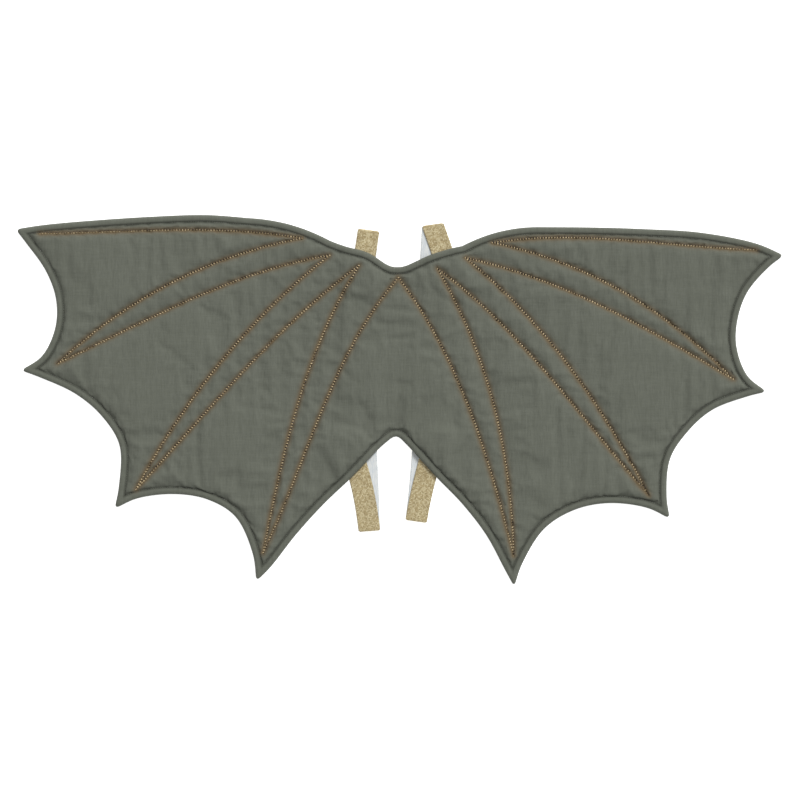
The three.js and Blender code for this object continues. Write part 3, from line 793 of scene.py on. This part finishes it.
def buildFront():
    q = quiltedFront
    flat, corners, index = frontNet()
    height, fromEdge, fromSeam = frontHeights(flat)
    lift = liftAt(flat)
    swell = sum(
        tall * np.array([noise.noise(Vector((p[0] * across, p[1] * up, place))) for p in flat])
        for across, up, place, tall in q["swells"]
    )
    inPanel = smoothStep((np.minimum(fromEdge - wingPanel["rimWidth"], fromSeam)) / q["swellReach"])
    height = height + inPanel * swell * mm
    insideRim = smoothStep((fromEdge - wingPanel["rimWidth"]) / (2 * mm))
    height += insideRim * puckers(outlineFine, outlineTree, flat, *q["puckersAtTop"], q["seed"],
                                  lambda p: p[1] > nodeHigh[1] - q["topBand"])
    height += insideRim * puckers(outlineFine, outlineTree, flat, *q["puckersAtRim"], q["seed"] + 1)
    for i, (line, tree) in enumerate(zip(seamsFine, seamTrees)):
        height += insideRim * puckers(line, tree, flat, *q["puckersAtSeams"], q["seed"] + 5 + i)
    for tree in rearTrees:
        beside = nearestOn(tree, flat)[0] - armLoops["width"] / 2
        height += insideRim * q["pressMark"] * np.exp(-((beside / q["pressReach"]) ** 2))
    top = q["floorHeight"] + lift + height
    moved = np.zeros((len(flat), 3))
    held = (fromEdge < wingPanel["rimWidth"] + 0.6 * mm) | (fromSeam < 0.8 * mm)
    moved = settled(flat, top, corners, held)
    points = np.column_stack([flat, top]) + moved

    # the underside shares the outline's corners
    ring = [index[i] for i in range(len(outline))]
    net = pointNet(12 * mm)
    net.add(outline, 0, True, True)
    net.add(hexFill(q["underStep"], 0.6 * q["underStep"]), 0)
    underFlat, underCorners, underIndex = net.triangles()
    place = {underIndex[i]: ring[i] for i in range(len(outline))}
    underHeights = q["floorHeight"] + liftAt(underFlat)
    under, number = [], {}
    for i, (p, z) in enumerate(zip(underFlat, underHeights)):
        if i in place:
            number[i] = place[i]
        else:
            number[i] = len(points) + len(under)
            under.append((p[0], p[1], z))
    faces = list(corners) + [[number[c], number[b], number[a]] for a, b, c in underCorners]
    piece = newObject("quiltedFront", np.vstack([points, under]), faces, quiltedCotton)
    extra = np.zeros(len(under))
    # painted shade along the rim's stitching groove
    grooveShading = q["grooveShadeDepth"] * np.exp(-(((fromEdge - wingPanel["rimWidth"]) / q["grooveReach"]) ** 2))
    # painted shadow in a band beside each seam's thread
    threadShadowBand = np.exp(-((fromSeam / q["threadReach"]) ** 2))
    addValues(piece, "grooveShade", np.concatenate([grooveShading, extra]))
    addValues(piece, "threadShade", np.concatenate([threadShadowBand, extra]))
    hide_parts("quilted_front")
    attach(piece, "root")
    print("quilted front:", len(points), "corners on top,", len(faces), "faces")
    return points


frontTop = buildFront()


# back cloth

backCloth = {
    "step": 7 * mm,
    "thickness": 1.2 * mm,
    "seamDimple": 0.25 * mm,
    "rimRows": (1.2, 4.0, 8.0, 12.0),  # mm in from the edge
    "edgeRound": 1.2 * mm,
}


def buildBack():
    b = backCloth
    net = pointNet(6 * mm)
    net.add(outline, 0, True, True)
    for inset in b["rimRows"]:
        net.add(insetRow(inset * mm), 1.0 * mm)
    for line in seamLines:
        net.add(evenly(line, 4 * mm), 2.5 * mm)
    net.add(hexFill(b["step"], 0.8 * b["step"]), 0.7 * b["step"])
    flat, corners, index = net.triangles()
    lift = liftAt(flat)
    fromEdge = nearestOn(outlineTree, flat)[0]
    fromSeam = np.array([nearestOn(tree, flat)[0] for tree in seamTrees]).min(axis=0)
    line = np.minimum(np.abs(fromEdge - wingPanel["rimWidth"]), fromSeam)
    dimple = b["seamDimple"] * np.exp(-((line / (2.2 * mm)) ** 2))
    ripple = np.array([noise.noise(Vector((p[0] * 60, p[1] * 60, 1.0))) for p in flat])
    low = lift + dimple + 0.12 * mm * (1 + ripple) * smoothStep(line / (6 * mm))
    thin = b["thickness"] * np.sqrt(np.clip(fromEdge / b["edgeRound"], 0, 1))
    middle = lift + b["thickness"] / 2
    rounded = fromEdge < b["edgeRound"]
    top = np.where(rounded, middle + thin / 2, lift + b["thickness"])
    low = np.where(rounded, middle - thin / 2, np.minimum(low, lift + 0.6 * b["thickness"]))
    rim = {index[i] for i in range(len(outline))}
    number, points = {}, [(p[0], p[1], z) for p, z in zip(flat, top)]
    for i, (p, z) in enumerate(zip(flat, low)):
        if i in rim:
            number[i] = i
        else:
            number[i] = len(points)
            points.append((p[0], p[1], z))
    faces = list(corners) + [[number[c], number[b2], number[a]] for a, b2, c in corners]
    piece = newObject("backCloth", points, faces, backingCotton)
    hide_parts("back_cloth")
    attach(piece, "root")
    print("back cloth:", len(points), "corners")
    return piece


backPiece = buildBack()


# arm loops

elastic = {
    "step": 2.2 * mm,
    "ribs": 17,
    "ribHeight": 0.18 * mm,
    "foldSteps": 10,
    "foldNarrowing": 1.6 * mm,
    "edgeRound": 0.8,
    "edgeShare": 0.05,  # of half the width
}


def loopSections(route):
    # middle, direction across, direction of the outer face, and how near a fold it is
    up = np.array([0, 0, 1.0])
    step = elastic["step"]
    low = layerLine(route, "lowerFold", "lowerEnd", 1, step)
    rear = layerLine(route, "lowerFold", "upperFold", -1, step)
    high = layerLine(route, "upperEnd", "upperFold", 1, step)

    def flatRows(line, height, outer, backwards):
        left = leftOf(line)
        rows = [(np.array([*p, height]), np.array([*l, 0]), outer * up, 0.0) for p, l in zip(line, left)]
        return rows[::-1] if backwards else rows

    def foldRows(name, isUpper):
        at, upward = loopCorner(route, name, 0)
        outward = np.array([*upward, 0]) * (1 if isUpper else -1)
        radius = (frontMiddle - rearMiddle) / 2
        rows = []
        for i in range(elastic["foldSteps"] + 1):
            angle = math.pi * (i / elastic["foldSteps"] - 0.5)
            outer = outward * math.cos(angle) + up * math.sin(angle)
            middle = np.array([*at, rearMiddle + radius]) + outer * radius
            rows.append((middle, np.array([-upward[1], upward[0], 0]), outer, math.cos(angle)))
        return rows

    return (flatRows(low[1:], frontMiddle, 1, True) + foldRows("lowerFold", False)[::-1]
            + flatRows(rear[1:-1], rearMiddle, -1, False) + foldRows("upperFold", True)
            + flatRows(high[:-1], frontMiddle, 1, True))


def buildLoop(name, route):
    sections = loopSections(route)
    across = np.linspace(-1, 1, 2 * elastic["ribs"] + 1)
    half = armLoops["thickness"] / 2
    edge = np.sqrt(np.clip((1 - np.abs(across)) / elastic["edgeShare"], 0, 1))
    edge = edge * elastic["edgeRound"] + (1 - elastic["edgeRound"])
    rib = np.where(np.arange(len(across)) % 2 == 0, -1.0, 0.0) * elastic["ribHeight"]
    points, edgeShade, ribShade, ribPlace, alongTape = [], [], [], [], []
    travelled, last = 0.0, sections[0][0]
    for middle, side, outer, fold in sections:
        width = armLoops["width"] / 2 - elastic["foldNarrowing"] * fold**2
        travelled += float(np.linalg.norm(middle - last))
        last = middle
        for sign, height in ((1, half * edge + rib), (-1, half * edge)):
            line = middle + side * across[:, None] * width + outer * (sign * height)[:, None]
            points.extend(line)
            edgeShade.extend(np.clip((np.abs(across) - 0.9) / 0.1, 0, 1))
            ribShade.extend(-rib / elastic["ribHeight"])
            ribPlace.extend((across + 1) / 2 * elastic["ribs"])
            alongTape.extend([travelled] * len(across))
    count = len(across)
    ring = 2 * count
    faces, inner = [], []
    for i in range(len(sections) - 1):
        a, b = i * ring, (i + 1) * ring
        for k in range(count - 1):
            faces.append((a + k, a + k + 1, b + k + 1, b + k))
            inner.append(0)
            faces.append((a + count + k + 1, a + count + k, b + count + k, b + count + k + 1))
            inner.append(1)
        for k in (0, count - 1):
            quad = (a + k, b + k, b + count + k, a + count + k)
            faces.append(quad if k == 0 else quad[::-1])
            inner.append(0)
    for end in (0, (len(sections) - 1) * ring):
        for k in range(count - 1):
            quad = (end + k, end + count + k, end + count + k + 1, end + k + 1)
            faces.append(quad if end == 0 else quad[::-1])
            inner.append(0)
    piece = newObject(name, points, faces, goldLurex, paleElastic)
    piece.data.polygons.foreach_set("material_index", inner)
    addValues(piece, "edgeShade", edgeShade)
    addValues(piece, "ribShade", ribShade)
    addValues(piece, "ribPlace", ribPlace)
    addValues(piece, "alongTape", alongTape)
    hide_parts(route)
    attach(piece, "root")
    print(name + ":", len(sections), "sections")
    return piece


strapLeft = buildLoop("strapLeft", "strap_left")
strapRight = buildLoop("strapRight", "strap_right")


# stitches

def stitchTree():
    # stitches laid end to end along every line of the mesh
    tree = bpy.data.node_groups.new("stitchesAlongLines", "GeometryNodeTree")
    tree.interface.new_socket("Lines", in_out="INPUT", socket_type="NodeSocketGeometry")
    sockets = {}
    for name in ("Pitch", "Length", "Width", "Height", "Slant", "Unevenness"):
        sockets[name] = tree.interface.new_socket(name, in_out="INPUT", socket_type="NodeSocketFloat")
    sockets["Seed"] = tree.interface.new_socket("Seed", in_out="INPUT", socket_type="NodeSocketInt")
    sockets["Thread"] = tree.interface.new_socket("Thread", in_out="INPUT", socket_type="NodeSocketMaterial")
    tree.interface.new_socket("Stitches", in_out="OUTPUT", socket_type="NodeSocketGeometry")

    def add(kind, settings=None, **inputs):
        made = tree.nodes.new(kind)
        for key, value in (settings or {}).items():
            setattr(made, key, value)
        for key, value in inputs.items():
            socket = made.inputs[key]
            if isinstance(value, bpy.types.NodeSocket):
                tree.links.new(value, socket)
            else:
                socket.default_value = value
        return made

    given = tree.nodes.new("NodeGroupInput").outputs
    curves = add("GeometryNodeMeshToCurve", Mesh=given["Lines"])
    beads = add("GeometryNodeCurveToPoints", {"mode": "LENGTH"}, Curve=curves.outputs[0],
                Length=given["Pitch"])
    facing = add("FunctionNodeAlignRotationToVector", {"axis": "X"}, Vector=beads.outputs["Tangent"])
    forward = facing.outputs[0]

    def between(low, high, offset=0):
        seed = add("ShaderNodeMath", {"operation": "ADD"})
        tree.links.new(given["Seed"], seed.inputs[0])
        seed.inputs[1].default_value = offset
        made = tree.nodes.new("FunctionNodeRandomValue")
        made.data_type = "FLOAT"
        active = {s.name: s for s in made.inputs if s.enabled}
        for key, value in (("Min", low), ("Max", high), ("Seed", seed.outputs[0])):
            if isinstance(value, bpy.types.NodeSocket):
                tree.links.new(value, active[key])
            else:
                active[key].default_value = value
        return next(s for s in made.outputs if s.enabled)

    def calc(operation, first, second):
        made = tree.nodes.new("ShaderNodeMath")
        made.operation = operation
        for socket, value in zip(made.inputs, (first, second)):
            if isinstance(value, bpy.types.NodeSocket):
                tree.links.new(value, socket)
            else:
                socket.default_value = value
        return made.outputs[0]

    wobble = calc("MULTIPLY", between(-1.0, 1.0), given["Unevenness"])
    slant = calc("ADD", given["Slant"], wobble)
    turned = add("ShaderNodeCombineXYZ", Z=slant)
    euler = add("FunctionNodeEulerToRotation", Euler=turned.outputs[0])
    facing = add("FunctionNodeRotateRotation", {"rotation_space": "LOCAL"}, Rotation=forward)
    tree.links.new(euler.outputs[0], facing.inputs[1])
    sizes = add("ShaderNodeCombineXYZ", X=given["Length"], Y=given["Width"], Z=given["Height"])
    bead = add("GeometryNodeMeshUVSphere", Segments=8, Rings=5, Radius=0.5)
    along = add("GeometryNodeTransform", Geometry=bead.outputs[0], Rotation=(0, math.pi / 2, 0))
    shaped = add("GeometryNodeTransform", Geometry=along.outputs[0], Scale=sizes.outputs[0])
    grow = add("ShaderNodeCombineXYZ", X=between(0.88, 1.1, offset=3), Y=between(0.85, 1.15, offset=5),
               Z=between(0.85, 1.15, offset=7))
    laid = add("GeometryNodeInstanceOnPoints", Points=beads.outputs[0], Instance=shaped.outputs[0],
               Rotation=facing.outputs[0], Scale=grow.outputs[0])
    real = add("GeometryNodeRealizeInstances", Geometry=laid.outputs[0])
    smooth = add("GeometryNodeSetShadeSmooth", Geometry=real.outputs[0])
    dressed = add("GeometryNodeSetMaterial", Geometry=smooth.outputs[0], Material=given["Thread"])
    out = tree.nodes.new("NodeGroupOutput")
    tree.links.new(dressed.outputs[0], out.inputs[0])
    return tree, {name: socket.identifier for name, socket in sockets.items()}


stitchNodes, stitchInputs = stitchTree()


def sewLines(name, lines, thread, sizes):
    # the lines become stitches, and the stitches a plain mesh
    points, edges = [], []
    for line in lines:
        first = len(points)
        points.extend(tuple(p) for p in line)
        edges.extend((i, i + 1) for i in range(first, len(points) - 1))
    guideMesh = bpy.data.meshes.new(name + "Lines")
    guideMesh.from_pydata(points, edges, [])
    guide = bpy.data.objects.new(name + "Lines", guideMesh)
    scene.collection.objects.link(guide)
    modifier = guide.modifiers.new("stitches", "NODES")
    modifier.node_group = stitchNodes
    for key, value in {**sizes, "Thread": thread}.items():
        modifier[stitchInputs[key]] = value
    done = guide.evaluated_get(bpy.context.evaluated_depsgraph_get())
    mesh = bpy.data.meshes.new_from_object(done)
    mesh.name = name
    guide.modifiers.remove(modifier)
    bpy.data.objects.remove(guide)
    piece = bpy.data.objects.new(name, mesh)
    if thread.name not in [m.name for m in mesh.materials if m]:
        mesh.materials.append(thread)
    scene.collection.objects.link(piece)
    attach(piece, "root")
    print(name + ":", len(mesh.polygons), "faces")
    return piece


topTree = treeOf(frontTop)


def onFront(line, raised):
    # the line laid on the quilted surface, averaged from the corners nearest to it
    rows = []
    for p in line:
        near = topTree.find_n((p[0], p[1], 0.0), 3)
        weights = [1 / (found[2] + 0.2 * mm) for found in near]
        z = sum(w * frontTop[found[1]][2] for w, found in zip(weights, near)) / sum(weights)
        rows.append((p[0], p[1], z + raised))
    return rows


def towardsLight(line, shift):
    # dark needle-hole beads, moved to the side of the seam that looks away from the light, where they are
    # partly the real needle holes and partly painted shade
    sideways = leftOf(line)
    turn = math.radians(studio["sunTurn"])
    return line + sideways * np.sign(sideways @ [math.sin(turn), math.cos(turn)])[:, None] * shift


stitchPitch = 3.3 * mm
holeShadeShift = 0.8 * mm
# middles of the stitches above the cloth
stitchHeights = {"gold": 0.35 * mm, "holesAndShade": 0.02 * mm, "rim": 0.1 * mm, "back": 0.15 * mm}
fingerStitches = {"Pitch": stitchPitch, "Length": 1.8 * mm, "Width": 2.8 * mm, "Height": 1.2 * mm,
                  "Slant": math.radians(28), "Unevenness": math.radians(12), "Seed": 4}
shoulderStitches = {**fingerStitches, "Length": 2.1 * mm, "Width": 1.9 * mm, "Slant": math.radians(36),
                    "Seed": 5}
# dark beads: the needle holes, and painted shade on each seam's shaded side
stitchHolesAndShade = {"Pitch": stitchPitch, "Length": 1.9 * mm, "Width": 2.8 * mm, "Height": 1.0 * mm,
               "Slant": 0.0, "Unevenness": math.radians(8), "Seed": 6}
rimStitches = {"Pitch": 2.7 * mm, "Length": 2.2 * mm, "Width": 0.5 * mm, "Height": 0.4 * mm,
               "Slant": 0.0, "Unevenness": math.radians(4), "Seed": 9}
backStitches = {"Pitch": stitchPitch, "Length": 2.7 * mm, "Width": 0.6 * mm, "Height": 0.45 * mm,
                "Slant": 0.0, "Unevenness": math.radians(4), "Seed": 15}

fingerLines = [evenly(line, 2 * mm) for line in seamLines]
holeShadeLines = [towardsLight(evenly(line, 2 * mm, stitchPitch / 2), holeShadeShift) for line in seamLines]
seamCount = len(wingPanel["seams"])
shoulderLines = [fingerLines[0], fingerLines[seamCount]]  # the seams along the two top edges
otherLines = [line for i, line in enumerate(fingerLines) if i % seamCount]
otherGuides = [onFront(line, stitchHeights["gold"]) for line in otherLines]
shoulderGuides = [onFront(line, stitchHeights["gold"]) for line in shoulderLines]
holeShadeGuides = [onFront(line, stitchHeights["holesAndShade"]) for line in holeShadeLines]
sewLines("fingerStitches", otherGuides, goldStitching, fingerStitches)
sewLines("shoulderStitches", shoulderGuides, goldStitching, shoulderStitches)
sewLines("stitchHolesAndShade", holeShadeGuides, holeShadeStitching, stitchHolesAndShade)
rimLines = []
current = []
for point in insetRow(wingPanel["rimWidth"]):
    if point is None:
        if len(current) > 3:
            rimLines.append(np.array(current))
        current = []
    else:
        current.append(point)
if len(current) > 3:
    rimLines.append(np.array(current))
sewLines("rimStitches", [onFront(line, stitchHeights["rim"]) for line in rimLines], oliveStitching, rimStitches)


def underBack(line):
    lift = liftAt(np.asarray(line))
    return [(p[0], p[1], z + stitchHeights["back"]) for p, z in zip(line, lift)]


sewLines("backStitches", [underBack(line) for line in fingerLines + rimLines], oliveStitching, backStitches)
